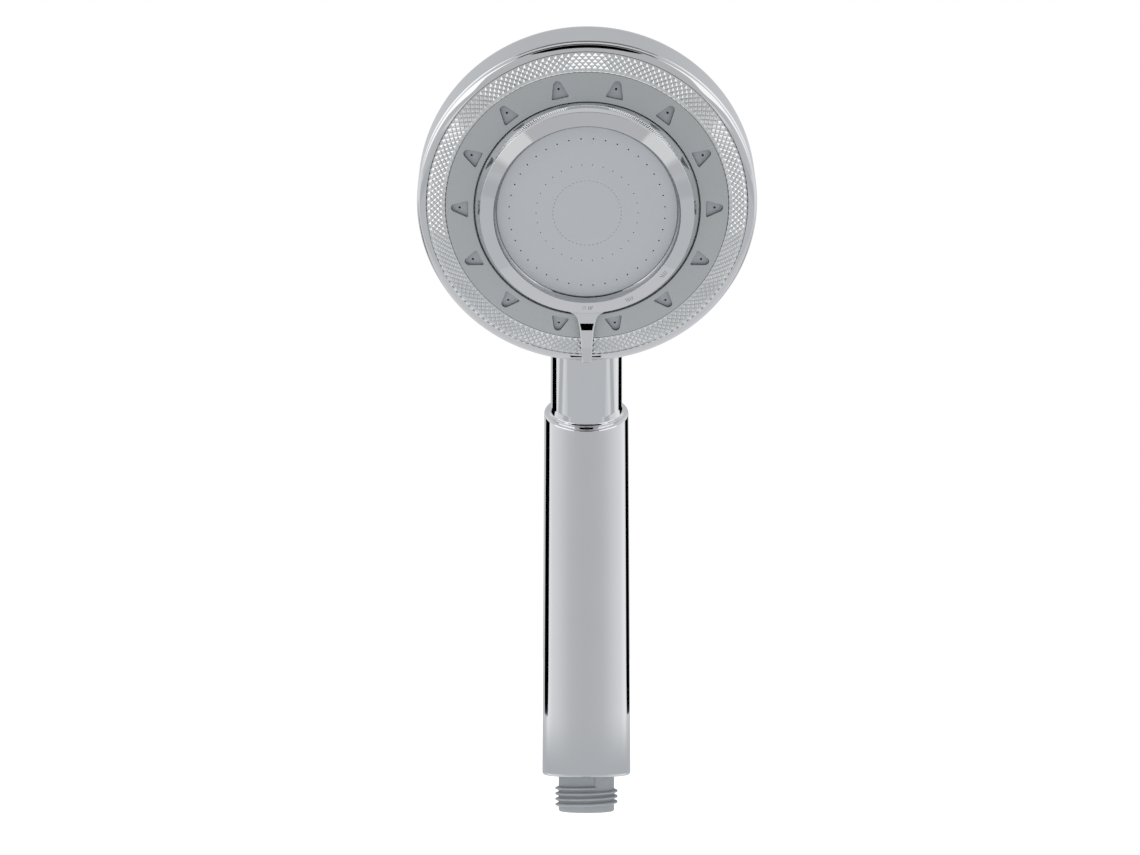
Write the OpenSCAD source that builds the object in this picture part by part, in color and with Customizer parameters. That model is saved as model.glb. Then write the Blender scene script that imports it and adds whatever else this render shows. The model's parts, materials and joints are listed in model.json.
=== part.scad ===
// Handheld shower head with a three-way lever selector.
// Row frame: origin at the centre of the hose connection's end face, +Z up along the grip,
// -Y towards the spray side. The neck leans forward by `bend` from the grip's axis.

/* [Handle] */
// Length of the grip sleeve along its axis, bottom edge to the middle of the angled shoulder
grip_length = 122; // [95:1:150]
// Outer diameter of the grip sleeve at its bottom edge
grip_d_bottom = 29.6; // [29:0.1:34]
// Outer diameter of the grip sleeve at the shoulder
grip_d_top = 28.3; // [28:0.1:34]
// Wall of the grip sleeve
grip_wall = 2.2; // [1.4:0.1:2.2]
// Forward lean of the neck and the head from the grip's axis, in degrees
bend = 25; // [10:1:30]
// Distance along the neck from the shoulder to the head's axis
neck_length = 80; // [74:1:110]
// Outer diameter of the neck where it meets the shoulder
neck_d = 24; // [22.5:0.1:25]
// Wall of the neck tube
neck_wall = 2.1; // [1.4:0.1:2.4]

/* [Hose connection] */
// Major diameter of the pipe thread (G 1/2)
thread_d = 20.955; // [20.8:0.005:21.1]
// Pitch of the pipe thread (14 threads per inch)
thread_pitch = 1.814; // [1.5:0.001:2]
// Number of thread crests
thread_turns = 4; // [3:1:4]
// How far the hose connection stands out of the grip sleeve
spigot_length = 12.2; // [11:0.1:16]
// Diameter of the recess in the hose connection's mouth
inlet_d = 14; // [13:0.1:14.5]

/* [Water pipes] */
// Outer diameter of the water pipes in the grip and the neck
pipe_d = 10.4; // [8:0.1:11]
// Inner diameter of the water pipes
pipe_bore = 7.6; // [5:0.1:7.8]

/* [Head] */
// Diameter of the selector drum at the foot of its sloped wall
drum_d = 72.6; // [66:0.1:90]
// Radial width of the grey nozzle face ring
face_w = 9.1; // [8.5:0.1:14]
// Radial width of the knurled trim ring
knurl_w = 6.1; // [6:0.1:10]
// Wall of the head shell and radial width of its front lip
shell_wall = 3.05; // [2:0.05:3.5]
// Rounding radius between the shell's side and its back
shell_round = 13; // [12:0.5:16]
// Height of the sloped drum wall above the face ring
drum_rise = 3.85; // [2:0.05:6]
// Radial width of the drum's bezel
bezel_w = 4.3; // [4:0.1:6]

/* [Spray pattern] */
// Number of nozzle pads in the face ring
pad_count = 14; // [8:1:16]
// Hole diameter of the nozzle pads
pad_hole_d = 0.8; // [0.6:0.05:1.5]
// Number of holes in the spray plate's outer ring
rain_count = 40; // [20:1:48]
// Number of holes in the spray plate's middle ring
soft_count = 30; // [12:1:36]
// Number of holes in the spray plate's inner ring
mist_count = 52; // [20:1:56]

/* [Selector] */
// Angle between two neighbouring spray settings, in degrees
setting_step = 25; // [20:1:30]
// Length of the lever beyond the bezel's face
lever_length = 19.5; // [16:0.1:22]
// Width of the lever at its tip
lever_w = 3.7; // [2.5:0.1:6]

/* [Hidden] */
$fn = 96;
eps = 0.01;
CHROME = "gainsboro";
GREY = "darkgray";
ABS = "silver";
RUBBER = "dimgray";
STEEL = "lightsteelblue";

// Clearances
run_gap = 0.25;      // drum to the fixed face ring
trim_gap = 0.1;      // trim ring to its neighbours
fit_gap = 0.05;      // plug and socket, shaft and bore, pin and pocket
face_gap = 0.1;      // flat faces that meet
turn_gap = 0.2;      // turning disc over a fixed disc

// Radii in the head, from the drum outwards
drum_r = drum_d / 2;
face_r0 = drum_r + run_gap;
face_r1 = face_r0 + face_w;
knurl_r0 = face_r1 + trim_gap;
knurl_r1 = knurl_r0 + knurl_w;
shell_r0 = knurl_r1 + trim_gap;
head_r = shell_r0 + shell_wall;

// Heights in the head, along its axis from the neck's axis; the face is at the positive end
knurl_slope = 12.5;
face_slope = 15;
knurl_z = 17.45;                                      // knurled ring's outer edge
face_z = knurl_z + knurl_w * tan(knurl_slope);        // face ring's outer edge
function face_top(r) = face_z + (face_r1 - r) * tan(face_slope);
lip_z = knurl_z + 0.25;
side_z = 2.3;                                         // where the shell's side starts to round to its back
back_slope = 10;
face_t = 2;
sheet_t = 1.2;
pad_drop = 1;                                         // pad surface below the face ring's surface
carrier_z = 11.4;
shelf_z = 15;
distributor_z0 = 8.8;
distributor_z1 = 13.8;
rim_z1 = carrier_z - face_gap;
rotor_z0 = distributor_z1 + turn_gap;
rotor_z1 = 18.3;
plate_z0 = 21.8;

// Drum and bezel
cone_in = 1.9;                                        // how far the drum wall leans in
cone_z = face_top(face_r0) - 0.24;
bezel_r1 = drum_r - cone_in;
bezel_r0 = bezel_r1 - bezel_w;
bezel_z1 = cone_z + drum_rise;
bezel_rise = 1.55;
bezel_z0 = bezel_z1 + bezel_rise;
bezel_wall = 1.5;
plate_well = 0.9;                                     // how far the bezel's inner wall leans in
plate_r = bezel_r0 - plate_well - fit_gap;
skirt_wall = 1.6;
skirt_z = rotor_z1 - 0.15;
skirt_r0 = drum_r - skirt_wall;
rotor_r = skirt_r0 - face_gap;
rotor_bore_r = rotor_r + run_gap;
collar_r0 = plate_r + fit_gap + bezel_wall + run_gap;
carrier_top = skirt_z - 0.15;

// Spray plate
plate_edge_t = 1.8;
plate_dome = 0.7;
rain_r = plate_r - 4.05;
soft_r = rain_r - 8.7;
mist_r = soft_r - 5.4;
rain_d = 0.5;
soft_d = 0.35;
mist_d = 0.3;

// Pads of the nozzle sheet
pad_mid_r = (face_r0 + face_r1) / 2;
pad_base = 2.75;                                      // from the pad's middle in to its base
pad_tip = 1.45;                                       // from the pad's middle out to its tip's centre
pad_half = 2.95;
pad_round = 1.35;

// Valve
port_r = 15;
port_hole_r = 2.2;
seal_r = 3.5;
ball_r = 1.25;
ball_pop = 0.5;                                       // how far the detent ball drops into a notch
detent_r = 22;
shaft_r = 4;
chamber_r = 27;
chamber_wall = 2;
chamber_z0 = -8;
flange_r = 33;
chamber_screw_r = 30;
boss_r = 3.4;
boss_ring_r = knurl_r1 - 4.35;
boss_angles = [30, 150, 210, 330];
boss_reach = boss_ring_r + boss_r - head_r + shell_round;
boss_foot = side_z - sqrt(pow(shell_round - shell_wall, 2) - pow(boss_reach, 2)) - 1;
boss_hole_z = boss_foot + 3;
screw_r = 1.4;
screw_seat_z = shelf_z - 2.1;                         // housing screws' heads sit here
washer_t = 0.8;
head_h = 1.8;

// Water pipes
pipe_r = pipe_d / 2;
socket_r = pipe_r + fit_gap;
socket_wall = 1.9;
elbow_arm = 14;
elbow_stop = 4;                                       // pipe ends this far from the elbow's middle
chamber_socket = [26, 38];                            // reach of the pipe socket from the head's axis
ring_section = 0.27 * (pipe_r - pipe_bore / 2);       // O-ring's section radius, as the pipe's wall allows
ring_nip = 0.02;                                      // clearance round an O-ring in its groove
ring_r = pipe_r + fit_gap - ring_section - ring_nip;
groove_in = 3;                                        // grooves from the pipe's ends
groove_half = ring_section + 0.12;

// Handle
shoulder_z = spigot_length + grip_length;
grip_r0 = grip_d_bottom / 2;
grip_r1 = grip_d_top / 2;
function grip_r(z) = grip_r0 + (grip_r1 - grip_r0) * (z - spigot_length) / grip_length;
grip_over = grip_r0 * tan(bend) + 4;                  // stock above the shoulder before the angled cut
grip_edge = 1;
shoulder_t = 3;
neck_plug = 2.5;
neck_r = neck_d / 2;
neck_top_r = neck_r - 0.2;
neck_bore_r = neck_r - neck_wall;
plug_r = neck_r - 1.1;
plug_bore_r = (socket_r + socket_wall) / cos(bend) + neck_plug * tan(bend) + 0.15;   // clears the elbow
rib_z = spigot_length + 4.9;
rib_t = 2;
rib_r = 11.2;

// Hose connection
thread_r = thread_d / 2;
thread_depth = 1.162;
root_r = thread_r - thread_depth;
crest_w = 0.35;
inlet_r = inlet_d / 2;
inlet_depth = 5.2;
regulator_r = inlet_r - 0.6;
regulator_z1 = 9.2;
flange_z0 = spigot_length + 1.5;
flange_z1 = rib_z - face_gap;
flange_out_r = 12.3;
spigot_top = flange_z1 + 12;

// ---- Frames and small helpers ----

// Neck frame: origin at the shoulder's middle, +Z along the neck towards the head
module neck_frame() translate([0, 0, shoulder_z]) rotate([bend, 0, 0]) children();

// Head frame: origin where the neck's axis meets the head's axis, +Z out of the face, +Y to the head's top
module head_frame() neck_frame() translate([0, 0, neck_length]) rotate([90, 0, 0]) children();

module ring(r0, r1, z0, z1) translate([0, 0, z0]) difference() {
    cylinder(r = r1, h = z1 - z0);
    translate([0, 0, -1]) cylinder(r = r0, h = z1 - z0 + 2);
}

module torus(r, section, z)
    translate([0, 0, z]) rotate_extrude() translate([r, 0]) circle(r = section, $fn = 32);

module polar(r, angle) rotate([0, 0, angle]) translate([r, 0, 0]) children();

function arc(cx, cy, r, a0, a1, steps) =
    [for (i = [0:steps]) let (a = a0 + (a1 - a0) * i / steps) [cx + r * cos(a), cy + r * sin(a)]];

// Coil spring along +Z from z = 0, as one closed tube of square-ended wire
module coil(mean_r, wire_r, height, turns, sides = 6, per_turn = 16) {
    steps = turns * per_turn;
    rise = height - 2 * wire_r;
    points = [
        for (i = [0:steps]) for (k = [0:sides - 1])
            let (a = 360 * i / per_turn, t = 360 * k / sides, r = mean_r + wire_r * cos(t))
                [r * cos(a), r * sin(a), wire_r + rise * i / steps + wire_r * sin(t)]
    ];
    walls = [
        for (i = [0:steps - 1]) for (k = [0:sides - 1])
            let (next = (k + 1) % sides)
            [i * sides + k, (i + 1) * sides + k, (i + 1) * sides + next, i * sides + next]
    ];
    caps = [
        [for (k = [0:sides - 1]) k],
        [for (k = [0:sides - 1]) (steps + 1) * sides - 1 - k]
    ];
    polyhedron(points = points, faces = concat(walls, caps), convexity = 8);
}

// Straight pipe with an O-ring groove near each end
module pipe(z0, z1) difference() {
    ring(pipe_bore / 2, pipe_r, z0, z1);
    for (z = [z0 + groove_in, z1 - groove_in])
        ring(ring_r - ring_section - ring_nip, pipe_r + 1, z - groove_half, z + groove_half);
}

module pipe_rings(z0, z1) for (z = [z0 + groove_in, z1 - groove_in]) torus(ring_r, ring_section, z);

// Self-tapping screw: the head's underside is at z = 0, and the shank points to -Z
module screw(shank_r, shank_h, head_r, head_t) {
    slot = head_r * 0.3;
    difference() {
        union() {
            translate([0, 0, -shank_h]) cylinder(r1 = shank_r * 0.5, r2 = shank_r, h = shank_r);
            translate([0, 0, shank_r - shank_h]) cylinder(r = shank_r, h = shank_h - shank_r + eps);
            cylinder(r1 = head_r, r2 = head_r * 0.85, h = head_t);
        }
        for (a = [0, 90]) rotate([0, 0, a])
            translate([-head_r * 0.7, -slot / 2, head_t * 0.4]) cube([head_r * 1.4, slot, head_t]);
    }
}

// ---- Handle ----

// Tapered grip sleeve, cut square to the neck at its top
module grip_sleeve() color(CHROME) difference() {
    rotate_extrude() polygon(concat(
        [[0, spigot_length]],
        arc(grip_r0 - grip_edge, spigot_length + grip_edge, grip_edge, -90, 0, 4),
        [[grip_r(shoulder_z + grip_over), shoulder_z + grip_over], [0, shoulder_z + grip_over]]
    ));
    neck_frame() translate([-30, -30, 0]) cube([60, 60, 60]);
    difference() {
        grip_hollow();
        neck_frame() translate([-30, -30, -shoulder_t]) cube([60, 60, 60]);
        ring(rib_r, grip_r0, rib_z, rib_z + rib_t);
    }
    neck_frame() translate([0, 0, -shoulder_t - 1]) cylinder(r = plug_r + face_gap, h = shoulder_t + 2);
}

module grip_hollow() translate([0, 0, spigot_length - 1])
    cylinder(r1 = grip_r(spigot_length - 1) - grip_wall, r2 = grip_r(shoulder_z + grip_over) - grip_wall,
             h = grip_length + grip_over + 1);

// Threaded hose connection with the flange that carries the sleeve and a socket for the grip pipe
module hose_spigot() color(GREY) difference() {
    rotate_extrude() polygon(concat(
        [[0, 0], [root_r - 0.4, 0], [root_r, 0.4]],
        thread_profile(),
        [
            [root_r, spigot_length - 1], [root_r, flange_z0], [flange_out_r, flange_z0],
            [flange_out_r, flange_z1], [socket_r + socket_wall, flange_z1],
            [socket_r + socket_wall, spigot_top], [0, spigot_top]
        ]
    ));
    translate([0, 0, -1]) cylinder(r = inlet_r, h = inlet_depth + 1);
    translate([0, 0, -1]) cylinder(r = regulator_r + fit_gap, h = regulator_z1 + 1);
    translate([0, 0, 1]) cylinder(r = pipe_bore / 2, h = spigot_top);
    translate([0, 0, flange_z1]) cylinder(r = socket_r, h = spigot_top);
}

// Thread ridges as closed rings at the thread's pitch, with flat crests at the major radius
function thread_profile() = [
    for (i = [0:thread_turns - 1]) let (z = 1.6 + i * thread_pitch) each [
        [root_r, z - 0.75], [thread_r, z - crest_w / 2], [thread_r, z + crest_w / 2], [root_r, z + 0.75]
    ]
];

// Water-saving disc in the connection's mouth: a ring of slots round a solid middle
module flow_regulator() color("lightgreen") difference() {
    union() {
        ring(0.01, regulator_r, inlet_depth + 0.6, regulator_z1 - fit_gap);
        translate([0, 0, inlet_depth]) cylinder(r = 2, h = 1);
    }
    for (i = [0:7]) polar(4.2, i * 45) translate([0, 0, inlet_depth - 1]) cylinder(r = 0.9, h = 6, $fn = 24);
    ring(regulator_r - 0.8, regulator_r + 1, inlet_depth + 1.6, inlet_depth + 2.6);
}

module regulator_o_ring() color(RUBBER) torus(regulator_r - 0.36, 0.38, inlet_depth + 2.1);

grip_pipe_z0 = flange_z1 + 0.5;
grip_pipe_z1 = shoulder_z - elbow_stop - 0.2;
module grip_pipe() color(ABS) pipe(grip_pipe_z0, grip_pipe_z1);
module grip_pipe_o_rings() color(RUBBER) pipe_rings(grip_pipe_z0, grip_pipe_z1);

// Elbow that turns the water from the grip's axis to the neck's axis
module elbow_coupling() color(ABS) difference() {
    union() {
        translate([0, 0, shoulder_z - elbow_arm]) cylinder(r = socket_r + socket_wall, h = elbow_arm);
        neck_frame() cylinder(r = socket_r + socket_wall, h = elbow_arm);
        translate([0, 0, shoulder_z]) sphere(r = socket_r + socket_wall);
    }
    translate([0, 0, shoulder_z - elbow_arm - 1]) cylinder(r = pipe_bore / 2, h = elbow_arm + 1);
    translate([0, 0, shoulder_z - elbow_arm - 1]) cylinder(r = socket_r, h = elbow_arm - elbow_stop + 1);
    neck_frame() cylinder(r = pipe_bore / 2, h = elbow_arm + 1);
    neck_frame() translate([0, 0, elbow_stop]) cylinder(r = socket_r, h = elbow_arm);
    translate([0, 0, shoulder_z]) sphere(r = pipe_bore / 2);
}

neck_pipe_z0 = elbow_stop + 0.2;
neck_pipe_z1 = neck_length - chamber_socket[0] - 0.3;
module neck_pipe() color(ABS) neck_frame() pipe(neck_pipe_z0, neck_pipe_z1);
module neck_pipe_o_rings() color(RUBBER) neck_frame() pipe_rings(neck_pipe_z0, neck_pipe_z1);

// ---- Head, fixed parts ----

round_cx = head_r - shell_round;
dome_r = (round_cx + shell_round * cos(90 - back_slope)) / sin(back_slope);
dome_cz = side_z - shell_round * sin(90 - back_slope) + dome_r * cos(back_slope);

// Back of the shell as a line from the axis out to the side, at `t` inside the outer surface
function back_line(t) = concat(
    arc(0, dome_cz, dome_r - t, -90, -90 + back_slope, 6),
    arc(round_cx, side_z, shell_round - t, -90 + back_slope, 0, 12)
);
function reversed(list) = [for (i = [len(list) - 1:-1:0]) list[i]];

// Chromed shell: round cup with a raised front lip, and the neck in one piece with it
module head_shell() color(CHROME) {
    difference() {
        union() {
            head_frame() rotate_extrude() polygon(concat(back_line(0), lip_line(), [[0, lip_z - 0.6]]));
            neck_frame() neck_stub();
        }
        head_frame() rotate_extrude() polygon(concat(
            back_line(shell_wall), [[shell_r0, lip_z + 5], [0, lip_z + 5]]
        ));
        neck_frame() translate([0, 0, -neck_plug - 1]) cylinder(r = plug_bore_r, h = neck_length - 20);
        neck_frame() translate([0, 0, 2]) cylinder(r = neck_bore_r, h = neck_length - chamber_r - 2 - 2);
    }
    head_frame() bosses();
}

// Lip: a rounded outer edge, a crest, and a chamfer that falls in to the knurled ring
function lip_line() = [
    [head_r, knurl_z - 7.45], [head_r - 0.25, knurl_z - 4.45], [head_r - 1, knurl_z - 1.65],
    [head_r - 1.65, knurl_z - 0.1], [head_r - 1.95, lip_z], [head_r - 2.1, lip_z], [shell_r0, lip_z - 0.55]
];

module neck_stub() {
    cylinder(r1 = neck_r, r2 = neck_top_r, h = neck_length - head_r + 25);
    translate([0, 0, -neck_plug]) cylinder(r = plug_r, h = neck_plug + 1);
}

// Screw bosses that rise from the shell's back to carry the distributor
module bosses() for (a = boss_angles) polar(boss_ring_r, a) difference() {
    translate([0, 0, boss_foot]) cylinder(r = boss_r, h = distributor_z0 - face_gap - boss_foot);
    translate([0, 0, boss_hole_z]) cylinder(r = screw_r + fit_gap, h = distributor_z0 - boss_hole_z);
}

// Cup that takes the water from the neck pipe to the valve
module inlet_chamber() color(ABS) head_frame() difference() {
    rim = distributor_z0 - face_gap;
    union() {
        translate([0, 0, chamber_z0]) cylinder(r = chamber_r, h = rim - chamber_z0);
        translate([0, 0, rim - 2.5]) cylinder(r = flange_r, h = 2.5);
        rotate([90, 0, 0]) cylinder(r = socket_r + socket_wall, h = chamber_socket[1]);
    }
    translate([0, 0, chamber_z0 + chamber_wall]) cylinder(r = chamber_r - chamber_wall, h = rim - chamber_z0);
    rotate([90, 0, 0]) cylinder(r = pipe_bore / 2, h = chamber_socket[1] + 1);
    rotate([90, 0, 0]) translate([0, 0, chamber_socket[0]]) cylinder(r = socket_r, h = chamber_socket[1]);
    ring(chamber_r - 1.55, chamber_r - 0.45, rim - 1, rim + 1);
    for (a = [45:90:315]) polar(chamber_screw_r, a) translate([0, 0, rim - 4]) cylinder(r = 1.25, h = 6);
}

module chamber_gasket() color(RUBBER) head_frame() torus(chamber_r - 1, 0.5, distributor_z0 - 0.52);

module chamber_screws() color(STEEL) head_frame() for (a = [45:90:315])
    polar(chamber_screw_r, a) translate([0, 0, distributor_z0 - 2.6]) rotate([180, 0, 0])
        screw(1.15, 6.2, 2.2, 1.6);

// Valve seat: a disc with the port, the detent pocket and the drum shaft's bore
module distributor_body() color(ABS) head_frame() difference() {
    union() {
        translate([0, 0, distributor_z0]) cylinder(r = rotor_bore_r + 2.6, h = distributor_z1 - distributor_z0);
        translate([0, 0, distributor_z0]) cylinder(r = shell_r0 - 0.9, h = rim_z1 - distributor_z0);
    }
    translate([0, 0, distributor_z0 - 1]) cylinder(r = shaft_r + fit_gap, h = 8);
    polar(port_r, 90) translate([0, 0, distributor_z0 - 1]) cylinder(r = port_hole_r, h = 8);
    polar(port_r, 90) translate([0, 0, distributor_z1 - 3.2]) cylinder(r = seal_r, h = 4);
    polar(detent_r, 0) translate([0, 0, distributor_z1 - 4.4]) cylinder(r = ball_r + fit_gap, h = 5);
    for (a = [45:90:315]) polar(chamber_screw_r, a)
        translate([0, 0, distributor_z0 - 1]) cylinder(r = 1.2, h = 5);
    for (a = boss_angles) polar(boss_ring_r, a)
        translate([0, 0, distributor_z0 - 1]) cylinder(r = 1.7, h = 6);
    ring(carrier_step_r + 2.45, carrier_step_r + 3.55, rim_z1 - 1, rim_z1 + 1);
}

module port_seal() color(RUBBER) head_frame() polar(port_r, 90) ring(port_hole_r, seal_r - fit_gap,
    distributor_z1 - 1.9, distributor_z1 + 0.15);
module port_spring() color(STEEL) head_frame() polar(port_r, 90) translate([0, 0, distributor_z1 - 3.15])
    coil(2.8, 0.2, 1.2, 2);
module detent_ball() color(STEEL) head_frame() polar(detent_r, 0) translate([0, 0, rotor_z0 - ball_r - fit_gap])
    sphere(r = ball_r);
module detent_spring() color(STEEL) head_frame() polar(detent_r, 0) translate([0, 0, distributor_z1 - 4.35])
    coil(0.9, 0.18, 1.9, 3, per_turn = 14);

carrier_step_r = rotor_bore_r + 2.9;
channel_r0 = rotor_bore_r + 4;
channel_r1 = face_r1 - 1.45;
function sheet_back(r) = face_top(r) - face_t - sheet_t - 0.02;

// Ring that carries the nozzle sheet, the face ring and the knurled ring, with the channel that feeds the pads
module front_carrier() color(ABS) head_frame() difference() {
    rotate_extrude() polygon([
        [rotor_bore_r, distributor_z1 + face_gap], [carrier_step_r, distributor_z1 + face_gap],
        [carrier_step_r, carrier_z], [shell_r0 - 0.15, carrier_z], [shell_r0 - 0.15, shelf_z],
        [knurl_r0, shelf_z], [face_r1, sheet_back(face_r1)], [channel_r1, sheet_back(channel_r1)],
        [channel_r1, 13], [channel_r0, 13], [channel_r0, sheet_back(channel_r0)],
        [face_r0 + 0.2, min(carrier_top, sheet_back(face_r0 + 0.2))], [face_r0, carrier_top],
        [rotor_bore_r, carrier_top]
    ]);
    for (i = [0:7]) rotate([0, 0, 22.5 + i * 45]) translate([rotor_bore_r - 2, 0, 15.2]) rotate([0, 90, 0])
        cylinder(r = 1, h = 8, $fn = 24);
    for (a = boss_angles) polar(boss_ring_r, a) {
        translate([0, 0, carrier_z - 1]) cylinder(r = 1.7, h = 6);
        translate([0, 0, screw_seat_z]) cylinder(r = 3, h = 4);
    }
}

module carrier_gasket() color(RUBBER) head_frame() torus(carrier_step_r + 3, 0.5, rim_z1 - 0.42);

module housing_screws() color(STEEL) head_frame() for (a = boss_angles)
    polar(boss_ring_r, a) translate([0, 0, screw_seat_z])
        screw(screw_r, screw_seat_z - boss_hole_z - 0.3, 2.8, head_h);

// Outline of one nozzle pad, its middle at the origin and its round tip towards +X, smaller all round by `less`
function pad_outline(less) = let (
        run = pad_base + pad_tip,
        drop = pad_half - pad_round,
        lean = atan(drop / run),
        half = pad_half - less * (1 + sin(lean)) / cos(lean),
        tip = pad_round - less
    ) concat(
        [[less - pad_base, -half]],
        arc(pad_tip, 0, tip, lean - 90, 90 - lean, 10),
        [[less - pad_base, half]]
    );

module pads(less, z0, z1) for (i = [0:pad_count - 1]) polar(pad_mid_r, (i + 0.5) * 360 / pad_count - 90)
    translate([0, 0, z0]) linear_extrude(z1 - z0) polygon(pad_outline(less));

// Conical band that follows the face ring's surface, `top` to `bottom` below it
module face_band(r0, r1, top, bottom) rotate_extrude() polygon([
    [r0, face_top(r0) - bottom], [r1, face_top(r1) - bottom], [r1, face_top(r1) - top], [r0, face_top(r0) - top]
]);

// Soft sheet behind the face ring; its pads stand in the ring's windows, each with one jet hole
module nozzle_sheet() color(RUBBER) head_frame() difference() {
    union() {
        face_band(face_r0 + 0.25, face_r1 - 0.1, face_t + 0.01, face_t + sheet_t);
        intersection() {
            face_band(face_r0 + 0.5, face_r1 - 0.3, pad_drop, face_t + sheet_t / 2);
            pads(0.1, 0, 40);
        }
    }
    for (i = [0:pad_count - 1]) polar(pad_mid_r, (i + 0.5) * 360 / pad_count - 90)
        cylinder(r = pad_hole_d / 2, h = 40, $fn = 24);
}

// Grey face ring with one window for each pad
module face_ring() color(GREY) head_frame() difference() {
    face_band(face_r0, face_r1, 0, face_t);
    pads(0, 0, 40);
}

// Knurled trim ring; the diamond knurl itself is a surface finish
module knurled_ring() color(CHROME) head_frame() rotate_extrude() polygon([
    [knurl_r0, shelf_z + fit_gap], [knurl_r1, shelf_z + fit_gap], [knurl_r1, knurl_z], [knurl_r0, face_z]
]);

// ---- Head, parts that turn with the lever ----

// Rotor: shaft, port disc and the collar that the bezel snaps over
module valve_rotor() color(ABS) head_frame() difference() {
    union() {
        translate([0, 0, distributor_z0 - face_gap]) cylinder(r = shaft_r, h = rotor_z0 - distributor_z0 + 1);
        translate([0, 0, rotor_z0]) cylinder(r = rotor_r, h = rotor_z1 - rotor_z0);
        ring(collar_r0, rotor_r, rotor_z1 - eps, rotor_z1 + 1.7);
    }
    translate([0, 0, distributor_z0 - 1]) cylinder(r = 1.55, h = 7.5);
    ring(shaft_r - 0.8, shaft_r + 1, 11, 12);
    ring(rotor_r - 1, rotor_r + 1, 16.5, 17.7);
    for (i = [1, 2]) polar(port_r, 90 + i * setting_step)
        translate([0, 0, rotor_z0 - 1]) cylinder(r = port_hole_r, h = 8);
    rotate([0, 0, 90]) translate([port_r - 2, -2, rotor_z0 - 1]) cube([rotor_r, 4, 2.2]);
    for (i = [0:2]) polar(detent_r, i * setting_step)
        translate([0, 0, rotor_z0 - ball_r - fit_gap + ball_pop]) sphere(r = ball_r + 0.06);
}

module shaft_o_ring() color(RUBBER) head_frame() torus(shaft_r - 0.37, 0.38, 11.5);
module rotor_o_ring() color(RUBBER) head_frame() torus(rotor_r - 0.35, 0.55, 17.1);
module rotor_washer() color(STEEL) head_frame()
    ring(1.6, 6.5, distributor_z0 - face_gap - washer_t, distributor_z0 - face_gap);
module rotor_screw() color(STEEL) head_frame()
    translate([0, 0, distributor_z0 - face_gap - washer_t]) rotate([180, 0, 0]) screw(1.5, 6.5, 2.9, head_h);

// Divider that splits the water between the spray plate's rings of holes
module spray_divider() color(ABS) head_frame() difference() {
    z0 = rotor_z1 + face_gap;
    translate([0, 0, z0]) cylinder(r = plate_r, h = plate_z0 - z0 - 0.02);
    ring(rain_r - 2, rain_r + 2, z0 + 1.2, plate_z0 + 1);
    ring(mist_r - 2, soft_r + 2, z0 + 1.2, plate_z0 + 1);
    polar(port_r, 90 + setting_step) translate([0, 0, z0 - 1]) cylinder(r = port_hole_r, h = 3);
    polar(port_r, 90 + 2 * setting_step) translate([0, 0, z0 - 1]) cylinder(r = port_hole_r, h = 3);
}

// Grey spray plate: a shallow dome with three rings of jet holes
module spray_plate() color(GREY) head_frame() difference() {
    rotate_extrude() polygon(concat(
        [[0, plate_z0], [plate_r, plate_z0], [plate_r, plate_z0 + plate_edge_t - 0.3]],
        [for (i = [0:5]) let (r = (plate_r - 0.3) * (1 - i / 5))
            [r, plate_z0 + plate_edge_t + plate_dome * (1 - pow(r / plate_r, 2))]]
    ));
    jet_holes(rain_r, rain_d, rain_count);
    jet_holes(soft_r, soft_d, soft_count);
    jet_holes(mist_r, mist_d, mist_count);
}

module jet_holes(r, d, count) for (i = [0:count - 1]) polar(r, (i + 0.5) * 360 / count - 90)
    translate([0, 0, plate_z0 - 1]) cylinder(r = d / 2, h = 8, $fn = 16);

// Chromed bezel: sloped drum wall, bezel face, plate well, and the lever in one piece with it
module selector_bezel() color(CHROME) head_frame() {
    well_r = plate_r + fit_gap;
    difference() {
        union() {
            rotate_extrude() polygon([
                [well_r, rotor_z1 + face_gap], [well_r, plate_z0 + plate_edge_t - 0.1], [bezel_r0, bezel_z0],
                [bezel_r1, bezel_z1], [drum_r, cone_z], [drum_r, skirt_z], [well_r, skirt_z]
            ]);
            lever();
        }
        rotate_extrude() polygon([
            [well_r + bezel_wall, skirt_z - 1], [well_r + bezel_wall, bezel_z1 - 1.3],
            [bezel_r1 - 1.8, bezel_z1 - 2],
            [skirt_r0, cone_z - 0.4], [skirt_r0, skirt_z - 1]
        ]);
        translate([0, 0, skirt_z - 1]) cylinder(r = well_r + bezel_wall, h = rotor_z1 + face_gap - skirt_z + 1);
    }
}

lever_reach = bezel_r1 + lever_length;
lever_bends = [0, 4.1, 7.15, 14];                    // along the lever, where its top changes slope
lever_falls = [16, 24, 14, 0];                        // slope after each bend
lever_gap = 1;                                        // lever above the trim rings it sweeps over
lever_nose = 0.6;                                     // rounding of the tip
function lever_top(i) = i == 0 ? bezel_z1
    : lever_top(i - 1) - (lever_bends[i] - lever_bends[i - 1]) * tan(lever_falls[i - 1]);
function trim_top(r) = r < face_r1 ? face_top(r) : knurl_z + (knurl_r1 - r) * tan(knurl_slope);

// Lever at the drum's bottom: a flat root, a steep step down and a thumb rest that levels off over the rim
module lever() intersection() {
    rotate([90, 0, -90]) linear_extrude(20, center = true) lever_side();
    translate([0, 0, 15]) linear_extrude(20) lever_plan();
}

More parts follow.
